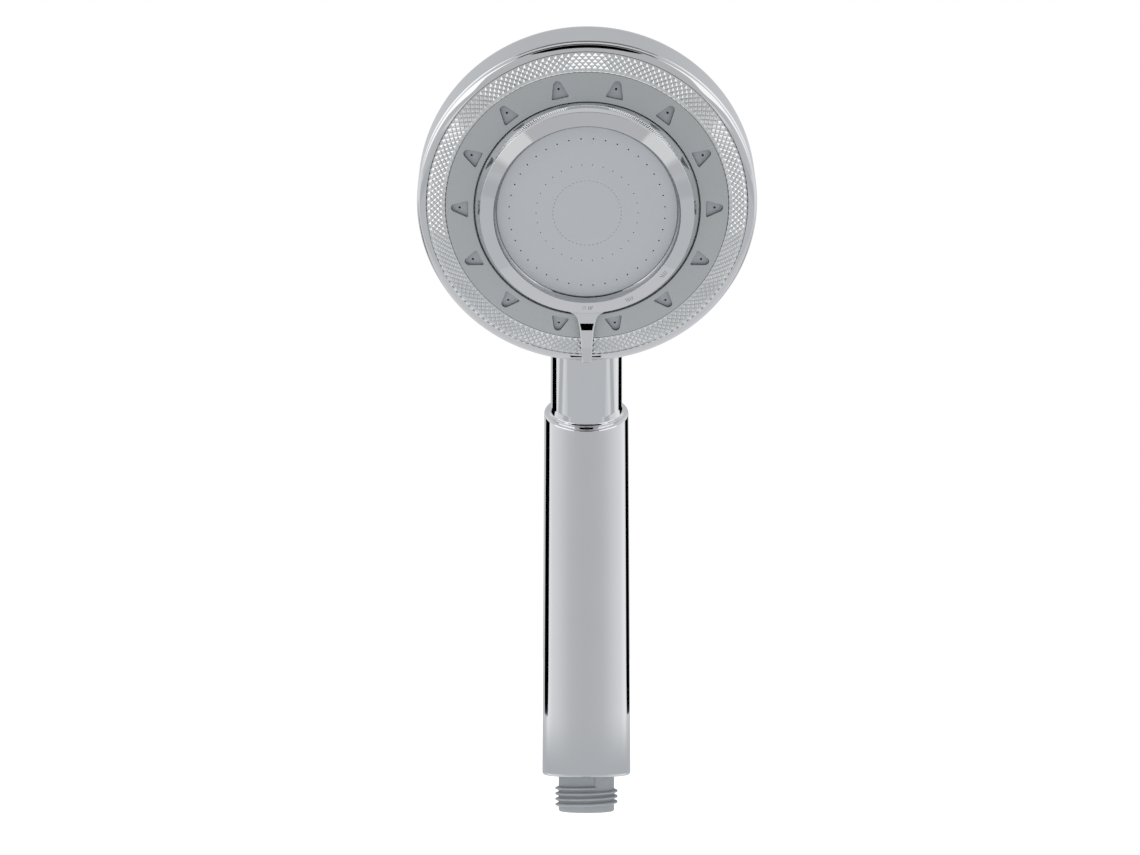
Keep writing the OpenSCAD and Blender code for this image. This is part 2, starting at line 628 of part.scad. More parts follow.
// Side view of the lever: x is the distance from the head's axis, y is the height
module lever_side() polygon(concat(
    [[bezel_r1 - 1.5, cone_z + 0.6], [drum_r + 0.5, cone_z + 0.4],
     [drum_r + 1.5, trim_top(drum_r + 1.5) + lever_gap], [face_r1, trim_top(face_r1) + lever_gap],
     [lever_reach - lever_nose, trim_top(lever_reach) + lever_gap],
     [lever_reach, trim_top(lever_reach) + lever_gap + lever_nose],
     [lever_reach, lever_top(3) - lever_nose], [lever_reach - lever_nose, lever_top(3)]],
    [for (i = [3:-1:0]) [bezel_r1 + lever_bends[i], lever_top(i)]],
    [[bezel_r1 - 1, bezel_z1 - 0.3]]
));

// Outline of the lever seen from the front: flared at the drum, narrow at the tip
module lever_plan() {
    tip = lever_w / 2;
    side = [[6, -1.2], [5.1, 0], [3.9, 0.9], [3.2, 2.2], [2.8, lever_bends[1]], [2.4, lever_bends[2]],
            [tip, lever_bends[3]], [tip - 0.15, lever_length - 1], [tip - 0.6, lever_length]];
    polygon(concat(
        [for (p = side) [-p[0], -bezel_r1 - p[1]]],
        [for (i = [len(side) - 1:-1:0]) [side[i][0], -bezel_r1 - side[i][1]]]
    ));
}

grip_sleeve();
hose_spigot();
flow_regulator();
regulator_o_ring();
grip_pipe();
grip_pipe_o_rings();
elbow_coupling();
neck_pipe();
neck_pipe_o_rings();
head_shell();
inlet_chamber();
chamber_gasket();
chamber_screws();
distributor_body();
port_seal();
port_spring();
detent_ball();
detent_spring();
valve_rotor();
shaft_o_ring();
rotor_o_ring();
rotor_washer();
rotor_screw();
spray_divider();
spray_plate();
selector_bezel();
front_carrier();
carrier_gasket();
nozzle_sheet();
face_ring();
knurled_ring();
housing_screws();
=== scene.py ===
"""Looks of the handheld shower head: its finishes, its fine-detail pieces, the studio and the camera."""
import json
import logging
import math
from dataclasses import dataclass
from enum import Enum
from typing import Callable, Iterable, Sequence

import bmesh
import bpy
from mathutils import Matrix, Vector


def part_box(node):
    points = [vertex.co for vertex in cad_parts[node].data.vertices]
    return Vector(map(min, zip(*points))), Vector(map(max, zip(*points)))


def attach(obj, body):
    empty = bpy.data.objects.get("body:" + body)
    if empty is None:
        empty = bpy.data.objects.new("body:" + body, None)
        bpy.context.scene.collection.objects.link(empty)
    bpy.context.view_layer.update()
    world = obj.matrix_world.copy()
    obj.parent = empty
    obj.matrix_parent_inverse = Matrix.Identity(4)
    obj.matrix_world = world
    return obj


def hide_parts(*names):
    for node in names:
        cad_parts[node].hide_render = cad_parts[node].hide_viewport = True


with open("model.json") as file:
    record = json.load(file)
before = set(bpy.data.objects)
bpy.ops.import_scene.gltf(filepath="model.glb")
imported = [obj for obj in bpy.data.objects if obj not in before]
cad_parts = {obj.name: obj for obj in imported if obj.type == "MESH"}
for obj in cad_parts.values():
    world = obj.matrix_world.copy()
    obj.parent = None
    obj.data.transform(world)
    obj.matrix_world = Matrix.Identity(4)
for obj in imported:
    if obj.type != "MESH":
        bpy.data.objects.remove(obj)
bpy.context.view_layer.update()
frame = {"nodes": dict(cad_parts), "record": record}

MM = 0.001
MIX_A, MIX_B, MIX_OUT = 6, 7, 2     # the colour sockets of a mix node
TURN_STEPS = 224                    # segments round the head's broad turned pieces
LOG = logging.getLogger("shower_head")


# ---------------------------------------------------------------- colours, nodes and finishes

def linear(hex_colour: str) -> tuple[float, float, float, float]:
    """Turns an sRGB hex colour into the linear numbers that shaders take.

    Args:
        hex_colour: six hex digits after a hash.

    Returns:
        Linear red, green and blue, and an opacity of 1.
    """
    digits = hex_colour.lstrip("#")
    channels = [int(digits[i:i + 2], 16) / 255 for i in (0, 2, 4)]
    return (*[c / 12.92 if c <= 0.04045 else ((c + 0.055) / 1.055) ** 2.4 for c in channels], 1.0)


def add_node(tree: bpy.types.NodeTree, kind: str, values: dict | None = None, **links) -> bpy.types.Node:
    """Adds one shader node with its settings and links.

    Args:
        tree: the node tree that gets the node.
        kind: the node's type name, such as "ShaderNodeBump".
        values: settings; a key that names an input socket sets its default, any other sets a property.
        **links: the output socket that feeds each input; the key is the input's name, with underscores for
            spaces, or i and its number.

    Returns:
        The new node.
    """
    node = tree.nodes.new(kind)
    for key, value in (values or {}).items():
        if isinstance(key, int) or key in node.inputs:
            node.inputs[key].default_value = value
        else:
            setattr(node, key, value)
    for key, source in links.items():
        index = int(key[1:]) if key[0] == "i" and key[1:].isdigit() else key.replace("_", " ")
        tree.links.new(source, node.inputs[index])
    return node


@dataclass(frozen=True)
class Finish:
    """A surface finish made of a base colour, a gloss range and a fine relief.

    Attributes:
        name: the real material and its process.
        colour: sRGB hex of the surface.
        shade: sRGB hex of the second tone that the mottle fades to.
        metallic: 1 for a metal film, 0 for a plastic.
        roughness: lowest and highest roughness over the mottle.
        mottle_mm: size of the mottle's patches.
        grain_mm: size of the relief's grains.
        relief_mm: height of the relief.
        ior: index of refraction of a non-metal.
        coat: strength of a clear top layer.
        sheen: strength of a soft rubbery edge glow.
    """

    name: str
    colour: str
    shade: str
    metallic: float = 0.0
    roughness: tuple[float, float] = (0.4, 0.5)
    mottle_mm: float = 20.0
    grain_mm: float = 0.5
    relief_mm: float = 0.01
    ior: float = 1.5
    coat: float = 0.0
    sheen: float = 0.0

    def build(self) -> bpy.types.Material:
        """Makes the material on Object coordinates, so its pattern keeps its real size."""
        material = bpy.data.materials.new(self.name)
        material.use_nodes = True
        tree = material.node_tree
        tree.nodes.clear()
        place = add_node(tree, "ShaderNodeTexCoord").outputs["Object"]
        mottle = add_node(tree, "ShaderNodeTexNoise", {"Scale": 1 / (self.mottle_mm * MM), "Detail": 3.0},
                          Vector=place)
        grain = add_node(tree, "ShaderNodeTexNoise", {"Scale": 1 / (self.grain_mm * MM), "Detail": 2.0},
                         Vector=place)
        tones = {"data_type": "RGBA", MIX_A: linear(self.colour), MIX_B: linear(self.shade)}
        tone = add_node(tree, "ShaderNodeMix", tones, i0=mottle.outputs["Fac"])
        low, high = self.roughness
        spread = {"From Min": 0.3, "From Max": 0.7, "To Min": low, "To Max": high}
        gloss = add_node(tree, "ShaderNodeMapRange", spread, Value=mottle.outputs["Fac"])
        relief = add_node(tree, "ShaderNodeBump", {"Strength": 1.0, "Distance": self.relief_mm * MM},
                          Height=grain.outputs["Fac"])
        skin = add_node(tree, "ShaderNodeBsdfPrincipled",
                        {"Metallic": self.metallic, "IOR": self.ior, "Coat Weight": self.coat,
                         "Sheen Weight": self.sheen},
                        Base_Color=tone.outputs[MIX_OUT], Roughness=gloss.outputs["Result"],
                        Normal=relief.outputs["Normal"])
        add_node(tree, "ShaderNodeOutputMaterial", Surface=skin.outputs["BSDF"])
        return material


class Skin(Enum):
    """The finishes of the shower head, each made once."""

    # Bright chromium over moulded ABS: a near-perfect mirror, with the faint swell of the plastic under it
    CHROME = Finish("chrome_plated_ABS_polished", "#E9EAEC", "#E3E4E7", 1.0, (0.015, 0.045), 18.0, 14.0,
                    0.0035)
    # The same plating in the knurl's grooves, where the film is a little duller; its colour, lighter than the
    # chrome's, is painted light that brightens the whole knurl
    KNURL = Finish("chrome_plated_ABS_knurled_painted_bright", "#F1F2F3", "#E8E9EA", 1.0, (0.05, 0.10), 6.0, 3.0, 0.002)
    # Etched strokes in the plating: the same metal, left dull; its darker colour is painted shade of the
    # engraved grooves that the raised strokes stand in for
    ETCHED = Finish("chrome_plated_ABS_etched_painted_shade", "#8C9094", "#7C8084", 1.0, (0.45, 0.6), 2.0, 0.2, 0.01)
    # Grey ABS from a spark-eroded mould: even, satin, a very fine grain
    FACE_GREY = Finish("ABS_moulded_grey", "#939799", "#8F9395", 0.0, (0.42, 0.50), 25.0, 0.35, 0.006)
    # Spray plate in the same family of ABS, a little lighter and smoother
    PLATE_GREY = Finish("ABS_moulded_light_grey", "#A4A8AC", "#A0A4A8", 0.0, (0.36, 0.44), 30.0, 0.3, 0.004)
    # Soft silicone: the least gloss, with a faint bloom at grazing angles; its grey, a little darker than the
    # face ring's, is painted shade of the pads' recess
    SILICONE = Finish("silicone_rubber_moulded_grey_painted_shade", "#8C9095", "#878B90", 0.0, (0.55, 0.65), 8.0, 0.25,
                      0.005, 1.43, 0.0, 0.05)
    # Moulded acetal: slightly waxy, with a soft highlight; grey for the hose connection, two colours inside
    ACETAL_GREY = Finish("acetal_moulded_grey", "#999EA2", "#91969A", 0.0, (0.34, 0.46), 5.0, 0.4, 0.008,
                         1.48)
    ACETAL_WHITE = Finish("acetal_moulded_natural", "#DAD9D2", "#D3D2CA", 0.0, (0.35, 0.45), 12.0, 0.4, 0.006,
                          1.48)
    ACETAL_GREEN = Finish("acetal_moulded_green", "#4F9A5C", "#478F54", 0.0, (0.35, 0.45), 6.0, 0.4, 0.006,
                          1.48)
    # Nitrile seals: black, dull, with a dusty mottle
    NITRILE = Finish("nitrile_rubber_moulded_black", "#1B1B1C", "#242425", 0.0, (0.55, 0.7), 3.0, 0.3, 0.01,
                     1.52)
    # Stainless screws, springs and ball: turned, so brighter and directionless at this size
    STAINLESS = Finish("stainless_steel_turned", "#B9B7B2", "#ADABA6", 1.0, (0.2, 0.32), 2.0, 0.3, 0.004)

    @property
    def material(self) -> bpy.types.Material:
        """The finish's material, built the first time it is asked for."""
        return bpy.data.materials.get(self.value.name) or self.value.build()


# ---------------------------------------------------------------- shared modelling steps

Outline = list[tuple[float, float]]
NEARLY_STRAIGHT = math.radians(89.5)    # half of the angle above which a corner is left as it is
SHARP = 32.0                            # degrees that an edge turns before it shades as sharp


def rounded(corners: Sequence[tuple[float, float, float]], steps: int = 5) -> Outline:
    """Rounds the corners of an outline.

    Args:
        corners: (across, along, corner radius) in millimetres; the two end points stay as they are.
        steps: arc segments for each rounded corner.

    Returns:
        The outline's points in order.
    """
    points: Outline = [corners[0][:2]]
    for (x0, y0, _), (x1, y1, radius), (x2, y2, _) in zip(corners, corners[1:], corners[2:]):
        here, back, ahead = Vector((x1, y1)), Vector((x0, y0)), Vector((x2, y2))
        to_back, to_ahead = (back - here).normalized(), (ahead - here).normalized()
        half = to_back.angle(to_ahead) / 2
        if radius <= 0 or half > NEARLY_STRAIGHT:
            points.append((x1, y1))
            continue
        longest = 0.49 * min((back - here).length, (ahead - here).length)
        reach = min(radius / math.tan(half), longest)
        centre = here + (to_back + to_ahead).normalized() * reach / math.cos(half)
        first, last = here + to_back * reach - centre, here + to_ahead * reach - centre
        start = math.atan2(first.y, first.x)
        sweep = (math.atan2(last.y, last.x) - start + math.pi) % math.tau - math.pi
        turns = [start + sweep * i / steps for i in range(steps + 1)]
        r = first.length
        points += [(centre.x + r * math.cos(a), centre.y + r * math.sin(a)) for a in turns]
    points.append(corners[-1][:2])
    return points


def to_object(bm: bmesh.types.BMesh, name: str, place: Matrix, skin: Skin, smooth_below: float = SHARP
              ) -> bpy.types.Object:
    """Closes a piece: merges doubles, turns faces outwards, places it and makes its object.

    Args:
        bm: the piece in millimetres, in its own frame; it is freed.
        name: the object's name.
        place: the piece's frame in the row frame, in metres.
        skin: the piece's finish.
        smooth_below: edges that turn more than this many degrees stay sharp.

    Returns:
        The object, at the origin, with its place in its mesh.
    """
    bmesh.ops.remove_doubles(bm, verts=bm.verts, dist=1e-4)
    bmesh.ops.dissolve_degenerate(bm, edges=bm.edges, dist=1e-5)
    bmesh.ops.recalc_face_normals(bm, faces=bm.faces)
    for face in bm.faces:
        face.smooth = True
    for edge in bm.edges:
        edge.smooth = not edge.is_manifold or edge.calc_face_angle(0.0) < math.radians(smooth_below)
    bmesh.ops.scale(bm, vec=Vector((MM, MM, MM)), verts=bm.verts)
    bmesh.ops.transform(bm, matrix=place, verts=bm.verts)
    mesh = bpy.data.meshes.new(name)
    bm.to_mesh(mesh)
    bm.free()
    mesh.materials.append(skin.material)
    piece = bpy.data.objects.new(name, mesh)
    bpy.context.scene.collection.objects.link(piece)
    return piece


def even_shading(piece: bpy.types.Object) -> bpy.types.Object:
    """Weights normals by face area, so broad mirror faces stay true beside their small rounded edges."""
    weigh = piece.modifiers.new("even_shading", "WEIGHTED_NORMAL")
    weigh.mode = "FACE_AREA"
    weigh.weight = 100
    weigh.keep_sharp = True
    return piece


def spin_outline(bm: bmesh.types.BMesh, outline: Outline, steps: int, closed: bool) -> None:
    """Spins an outline of (radius, height) a full turn about Z, in the piece's millimetres."""
    verts = [bm.verts.new((r, 0.0, z)) for r, z in outline]
    edges = [bm.edges.new(pair) for pair in zip(verts, verts[1:])]
    if closed:
        edges.append(bm.edges.new((verts[-1], verts[0])))
    bmesh.ops.spin(bm, geom=verts + edges, cent=(0, 0, 0), axis=(0, 0, 1), dvec=(0, 0, 0), angle=math.tau,
                   steps=steps, use_merge=True, use_duplicate=False)


def turned(name: str, outline: Outline, place: Matrix, skin: Skin, steps: int = 192, closed: bool = True
           ) -> bpy.types.Object:
    """A piece turned on its axis.

    Args:
        name: the object's name.
        outline: (radius, height) points in millimetres.
        place: the piece's frame.
        skin: its finish.
        steps: segments round the turn.
        closed: whether the outline's last point joins its first.

    Returns:
        The turned object.
    """
    bm = bmesh.new()
    spin_outline(bm, outline, steps, closed)
    return even_shading(to_object(bm, name, place, skin))


def cut_away(piece: bpy.types.Object, cutter: bpy.types.Object) -> None:
    """Cuts one object out of another and removes the cutter."""
    cut = piece.modifiers.new("cut", "BOOLEAN")
    cut.operation, cut.solver, cut.object = "DIFFERENCE", "EXACT", cutter
    bpy.context.view_layer.update()
    evaluated = piece.evaluated_get(bpy.context.evaluated_depsgraph_get())
    mesh = bpy.data.meshes.new_from_object(evaluated)
    mesh.set_sharp_from_angle(angle=math.radians(SHARP))
    piece.modifiers.remove(cut)
    piece.data = mesh
    bpy.data.objects.remove(cutter)


def half_width(node: str) -> float:
    """Half of a round CAD node's width across X, in millimetres."""
    low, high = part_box(node)
    return (high[0] - low[0]) / 2 / MM


# ---------------------------------------------------------------- where the sub-assemblies stand

@dataclass(frozen=True)
class Stance:
    """The three frames of the object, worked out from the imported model's selector joint.

    Attributes:
        joint_height: the joint's point above the neck's axis, in millimetres.
    """

    joint_height: float = 20.0

    @property
    def normal(self) -> Vector:
        """The way the spray face looks."""
        return -Vector(self._joint["axis"]).normalized()

    @property
    def _joint(self) -> dict:
        """The record's entry for the selector's hinge."""
        return next(j for j in frame["record"]["behaviour"]["joints"] if j["name"] == "selector_turn")

    @property
    def head(self) -> Matrix:
        """Head frame: +Z out of the face, +Y to the head's top, its origin on the neck's axis."""
        z = self.normal
        x = Vector((1, 0, 0))
        y = z.cross(x)
        origin = Vector(self._joint["pos_m"]) - z * self.joint_height * MM
        return Matrix.Translation(origin) @ Matrix((x, y, z)).transposed().to_4x4()

    @property
    def neck(self) -> Matrix:
        """Neck frame: +Z up the neck, its origin where the neck's axis meets the grip's."""
        head = self.head
        z = head.col[1].to_3d()
        x = Vector((1, 0, 0))
        y = z.cross(x)
        origin = head.translation - z * (head.translation.y / z.y)
        return Matrix.Translation(origin) @ Matrix((x, y, z)).transposed().to_4x4()

    @property
    def grip(self) -> Matrix:
        """Grip frame: the row frame itself."""
        return Matrix.Identity(4)

    @property
    def neck_length(self) -> float:
        """Distance along the neck from the shoulder to the head's axis, in millimetres."""
        return (self.head.translation - self.neck.translation).length / MM


# ---------------------------------------------------------------- handle

@dataclass
class Handle:
    """The grip sleeve with its angled shoulder, and the grey hose connection. Sizes in millimetres."""

    stance: Stance
    wall: float = 2.2
    taper_top_d: float = 28.3
    bottom_edge: float = 1.0
    shoulder_edge: float = 0.65
    thread_major_r: float = 10.4775
    thread_depth: float = 1.162
    thread_pitch: float = 1.814
    thread_turns: float = 3.5
    thread_start: float = 1.07
    thread_end_angle: float = -73.0
    end_chamfer: float = 0.4
    mouth_r: float = 7.0
    mouth_depth: float = 5.2
    flange_r: float = 12.3
    flange_z: tuple[float, float] = (1.5, 4.8)

    def build(self) -> list[bpy.types.Object]:
        """Builds and dresses the handle's own pieces."""
        return [self.sleeve(), self.connection()]

    @property
    def sleeve_base(self) -> float:
        """Height of the sleeve's bottom edge."""
        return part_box("grip_sleeve")[0][2] / MM

    def sleeve_radius(self, z: float) -> float:
        """Outer radius of the sleeve at a height."""
        top = self.stance.neck.translation.z / MM
        share = (z - self.sleeve_base) / (top - self.sleeve_base)
        return half_width("grip_sleeve") + (self.taper_top_d / 2 - half_width("grip_sleeve")) * share

    def sleeve(self) -> bpy.types.Object:
        """The tapered sleeve: a turned tube cut square to the neck, its shoulder edge rounded."""
        base, top = self.sleeve_base, self.stance.neck.translation.z / MM + 14.0
        outer, inner = self.sleeve_radius, (lambda z: self.sleeve_radius(z) - self.wall)
        bm = bmesh.new()
        corners = [(inner(base), base, 0), (outer(base), base, self.bottom_edge), (outer(top), top, 0)]
        outline = rounded(corners, 5)
        outline[0:0] = [(0.0, base + 2.0), (inner(base), base + 2.0)]
        spin_outline(bm, outline + [(0.0, top)], 160, False)
        bmesh.ops.remove_doubles(bm, verts=bm.verts, dist=1e-4)
        neck = self.stance.neck
        whole = bm.verts[:] + bm.edges[:] + bm.faces[:]
        cut = bmesh.ops.bisect_plane(bm, geom=whole, dist=1e-5, clear_outer=True,
                                     plane_co=neck.translation / MM, plane_no=neck.col[2].to_3d())
        rim = [e for e in cut["geom_cut"] if isinstance(e, bmesh.types.BMEdge)]
        cap = bmesh.ops.contextual_create(bm, geom=rim)["faces"]
        shoulder = [e for f in cap for e in f.edges]
        bmesh.ops.bevel(bm, geom=shoulder, offset=self.shoulder_edge, offset_type="OFFSET", affect="EDGES",
                        segments=8, profile=0.5, material=-1)
        return even_shading(to_object(bm, "grip_sleeve_shell", self.stance.grip, Skin.CHROME))

    def connection(self) -> bpy.types.Object:
        """The hose connection: a turned body with a true helical thread wound round it."""
        root = self.thread_major_r - self.thread_depth
        base = self.sleeve_base
        flange = [base + z for z in self.flange_z]
        bm = bmesh.new()
        spin_outline(bm, rounded([
            (self.mouth_r, self.mouth_depth, 0), (self.mouth_r, 0.0, 0.3),
            (root - self.end_chamfer, 0.0, 0.12), (root, self.end_chamfer, 0.12),
            (root, flange[0], 0.3), (self.flange_r, flange[0], 0.3),
            (self.flange_r, flange[1], 0.2), (self.mouth_r, flange[1], 0)], 3), 128, True)
        self.wind_thread(bm, root)
        self.parting_line(bm, root)
        return to_object(bm, "hose_connection_body", self.stance.grip, Skin.ACETAL_GREY)

    def wind_thread(self, bm: bmesh.types.BMesh, root: float) -> None:
        """Winds the right-hand thread ridge: its start rises out of the body and its top end is blunt."""
        foot, crest = self.thread_pitch * 0.46, self.thread_pitch * 0.13
        section = rounded([(root - 0.4, -foot, 0), (root, -foot * 0.92, 0.15),
                           (self.thread_major_r, -crest, 0.14), (self.thread_major_r, crest, 0.14),
                           (root, foot * 0.92, 0.15), (root - 0.4, foot, 0)], 3)
        verts = [bm.verts.new((r, 0.0, z + self.thread_start + foot)) for r, z in section]
        edges = [bm.edges.new(pair) for pair in zip(verts, verts[1:] + verts[:1])]
        start = bmesh.ops.contextual_create(bm, geom=edges)["faces"]
        steps = round(self.thread_turns * 96)
        begin = math.radians(self.thread_end_angle) - math.tau * self.thread_turns
        bmesh.ops.rotate(bm, verts=verts, cent=(0, 0, 0), matrix=Matrix.Rotation(begin, 3, "Z"))
        bmesh.ops.spin(bm, geom=verts + edges + start, cent=(0, 0, 0), axis=(0, 0, 1),
                       dvec=(0, 0, self.thread_pitch * self.thread_turns / steps),
                       angle=math.tau * self.thread_turns, steps=steps, use_merge=False,
                       use_duplicate=False)
        for vert in verts:
            flat = Vector((vert.co.x, vert.co.y, 0))
            vert.co -= flat.normalized() * max(0.0, flat.length - root + 0.3)

    def parting_line(self, bm: bmesh.types.BMesh, root: float) -> None:
        """Adds the mould's parting line: a fine upright ridge over the plain part, front and back."""
        top = self.sleeve_base + self.flange_z[0]
        low = self.thread_start + self.thread_pitch * (self.thread_turns + 1)
        for angle in (self.thread_end_angle, self.thread_end_angle + 180.0):
            made = bmesh.ops.create_cube(bm, size=1.0)["verts"]
            bmesh.ops.scale(bm, vec=Vector((0.3, 0.22, top - low)), verts=made)
            bmesh.ops.translate(bm, vec=Vector((root - 0.03, 0, (top + low) / 2)), verts=made)
            turn = Matrix.Rotation(math.radians(angle), 3, "Z")
            bmesh.ops.rotate(bm, verts=made, cent=(0, 0, 0), matrix=turn)


# ---------------------------------------------------------------- head, fixed pieces

@dataclass
class Head:
    """The chromed shell with its neck, the knurled ring and the grey face ring. Sizes in millimetres."""

    stance: Stance
    neck_r: float = 12.0
    neck_top_r: float = 11.8
    neck_flare: float = 0.8
    wall: float = 3.05
    back_round: float = 13.0
    back_slope: float = 10.0
    side_z: float = 2.3
    knurl_z: float = 17.45
    knurl_slope: float = 12.5
    face_slope: float = 15.0
    lip_crest: float = 14.0
    lip_round: float = 1.35
    face_depth: float = 2.0
    face_inner_r: float = 36.55
    knurl_inner_r: float = 45.75
    pad_count: int = 14
    diamonds: int = 155
    diamond_rows: int = 3
    diamond_height: float = 0.36
    groove: float = 0.12

    def build(self) -> list[bpy.types.Object]:
        """Builds and dresses the head's fixed pieces."""
        return [self.shell(), self.knurl(), self.face_ring()]

    @property
    def rim_r(self) -> float:
        """Outer radius of the head."""
        return half_width("head_shell")

    @property
    def knurl_outer_r(self) -> float:
        """Outer radius of the knurled ring."""
        return half_width("knurled_ring")

    def knurl_top(self, r: float) -> float:
        """Height of the knurled ring's surface at a radius."""
        return self.knurl_z + (self.knurl_outer_r - r) * math.tan(math.radians(self.knurl_slope))

    def face_top(self, r: float) -> float:
        """Height of the face ring's surface at a radius."""
        outer = half_width("face_ring")
        edge = self.knurl_top(self.knurl_inner_r)
        return edge + (outer - r) * math.tan(math.radians(self.face_slope))

    def back_outline(self, inset: float) -> Outline:
        """The shell's back, from its middle out to its side, this far inside the outer surface."""
        slope = math.radians(self.back_slope)
        corner = self.rim_r - self.back_round
        dome = (corner + self.back_round * math.sin(slope)) / math.sin(slope)
        dome_z = self.side_z - self.back_round * math.cos(slope) + dome * math.cos(slope)
        r = dome - inset
        crown = [(-r * math.sin(-slope * i / 10), dome_z - r * math.cos(slope * i / 10)) for i in range(11)]
        turn = [slope + (math.pi / 2 - slope) * i / 16 for i in range(1, 17)]
        return crown + [(corner + (self.back_round - inset) * math.sin(a),
                         self.side_z - (self.back_round - inset) * math.cos(a)) for a in turn]

    def lip_outline(self) -> Outline:
        """The front lip: the shell's side, a fine parting groove, a round edge and a crest to the knurls."""
        rim, top, inner = self.rim_r, self.knurl_z, self.knurl_outer_r + 0.1
        crest = self.arc(self.lip_crest, (19, 27, 5), (inner + 0.15, top + 0.12))
        edge = self.arc(self.lip_round, (27, 84, 8), crest[-1])
        groove = edge[-1][1] - 0.1
        side = [(rim, top - 12.0), (rim, groove - 0.24), (rim - 0.2, groove - 0.12)]
        return side + edge[::-1] + crest[-2::-1] + [(inner, top - 0.1), (inner, top - 3.5)]

    @staticmethod
    def arc(radius: float, span: tuple[float, float, int], start: tuple[float, float]) -> Outline:
        """An arc outwards from a point; span gives its first slope, its last slope and its steps."""
        low, high, steps = math.radians(span[0]), math.radians(span[1]), span[2]
        centre = (start[0] - radius * math.sin(low), start[1] - radius * math.cos(low))
        turn = [low + (high - low) * i / steps for i in range(steps + 1)]
        return [(centre[0] + radius * math.sin(a), centre[1] + radius * math.cos(a)) for a in turn]

    def shell(self) -> bpy.types.Object:
        """The round cup with its neck: a turned shell joined with a turned tube that flares at its foot."""
        bm = bmesh.new()
        inner = self.back_outline(self.wall)[::-1]
        outline = self.back_outline(0.0) + self.lip_outline()[1:]
        spin_outline(bm, outline + [(self.knurl_outer_r + 0.1, self.side_z + 1.0)] + inner, TURN_STEPS, False)
        bmesh.ops.transform(bm, matrix=self.scaled(self.stance.head), verts=bm.verts)
        neck = bmesh.new()
        self.neck_tube(neck)
        bmesh.ops.transform(neck, matrix=self.scaled(self.stance.neck), verts=neck.verts)
        joined = bpy.data.meshes.new("neck")
        neck.to_mesh(joined)
        neck.free()
        bm.from_mesh(joined)
        bpy.data.meshes.remove(joined)
        return even_shading(to_object(bm, "head_shell_cup", Matrix.Identity(4), Skin.CHROME))

    def scaled(self, place: Matrix) -> Matrix:
        """A frame whose origin is in millimetres, for joining meshes before they are scaled."""
        grown = place.copy()
        grown.translation = place.translation / MM
        return grown

    def neck_tube(self, bm: bmesh.types.BMesh) -> None:
        """The neck: a slim cone that flares over a small ring where it meets the grip's shoulder."""
        top = self.stance.neck_length - self.rim_r + 17.0
        flare = self.neck_flare
        foot = rounded([(self.neck_r - 3.0, -0.6, 0), (self.neck_r + flare, -0.6, 0.05),
                        (self.neck_r + flare, 0.12, 0.1), (self.neck_r + 0.3, 0.55, 0.5),
                        (self.neck_r, 2.6, 2.5), (self.neck_top_r, top, 0)], 6)
        spin_outline(bm, foot, 160, False)

    def knurl(self) -> bpy.types.Object:
        """The knurled ring: a spun grid whose alternate points become diamonds, each with a low pyramid."""
        inner, outer = self.knurl_inner_r, self.knurl_outer_r
        border, sunk = 0.15, 0.3
        rows = self.diamond_rows * 2
        gap = (outer - inner - 2 * border) / rows
        bm = bmesh.new()
        profile = [(inner + border + gap * i, self.knurl_top(inner + border + gap * i) - sunk)
                   for i in range(rows + 1)]
        foot = [(outer, self.knurl_top(outer) - 0.1), (outer, self.knurl_z - 2.3),
                (inner, self.knurl_z - 2.3), (inner, self.knurl_top(inner) - 0.1)]
        spin_outline(bm, profile + foot, self.diamonds * 2, True)
        bmesh.ops.remove_doubles(bm, verts=bm.verts, dist=1e-4)
        step, corners, tips = math.tau / (self.diamonds * 2), [], []
        for vert in bm.verts:
            r = math.hypot(vert.co.x, vert.co.y)
            row = round((r - inner - border) / gap)
            if not 0 <= row <= rows or abs(vert.co.z - self.knurl_top(r) + sunk) > 0.01:
                continue
            odd = (row + round(math.atan2(vert.co.y, vert.co.x) / step)) % 2
            (corners if odd else tips).append(vert)
        bmesh.ops.connect_verts(bm, verts=corners)
        middles = [v for v in tips if all(len(f.verts) == 3 for f in v.link_faces)]
        bmesh.ops.dissolve_verts(bm, verts=middles)
        spots = set(corners)
        diamonds = [f for f in bm.faces if len(f.verts) == 4 and all(v in spots for v in f.verts)]
        bmesh.ops.recalc_face_normals(bm, faces=bm.faces)
        bmesh.ops.inset_individual(bm, faces=diamonds, thickness=self.groove, depth=sunk - 0.05)
        bmesh.ops.poke(bm, faces=diamonds, offset=self.diamond_height)
        # the knurl's finish is a lighter copy of the chrome: painted light
        return to_object(bm, "knurled_trim", self.stance.head, Skin.KNURL, 12.0)

    def pad_angles(self) -> list[float]:
        """Angles of the nozzle pads; none stands at the very top or bottom."""
        return [math.tau * (i + 0.5) / self.pad_count - math.pi / 2 for i in range(self.pad_count)]

    def face_ring(self) -> bpy.types.Object:
        """The grey ring: a turned cone band with a window for each pad, its edges softly rounded."""
        inner, outer = self.face_inner_r, half_width("face_ring")
        depth = self.face_depth
        ring = turned("face_ring_grey", rounded([
            (inner, self.face_top(inner) - depth, 0), (inner, self.face_top(inner), 0.25),
            (outer, self.face_top(outer), 0.25), (outer, self.face_top(outer) - depth, 0.1),
            (inner, self.face_top(inner) - depth, 0)], 3)[:-1], self.stance.head, Skin.FACE_GREY, TURN_STEPS)
        ring.modifiers.clear()
        cut_away(ring, self.window_cutters())
        soften = ring.modifiers.new("soft_edges", "BEVEL")
        soften.width, soften.segments = 0.28 * MM, 3
        soften.limit_method, soften.angle_limit = "ANGLE", math.radians(50)
        return even_shading(ring)

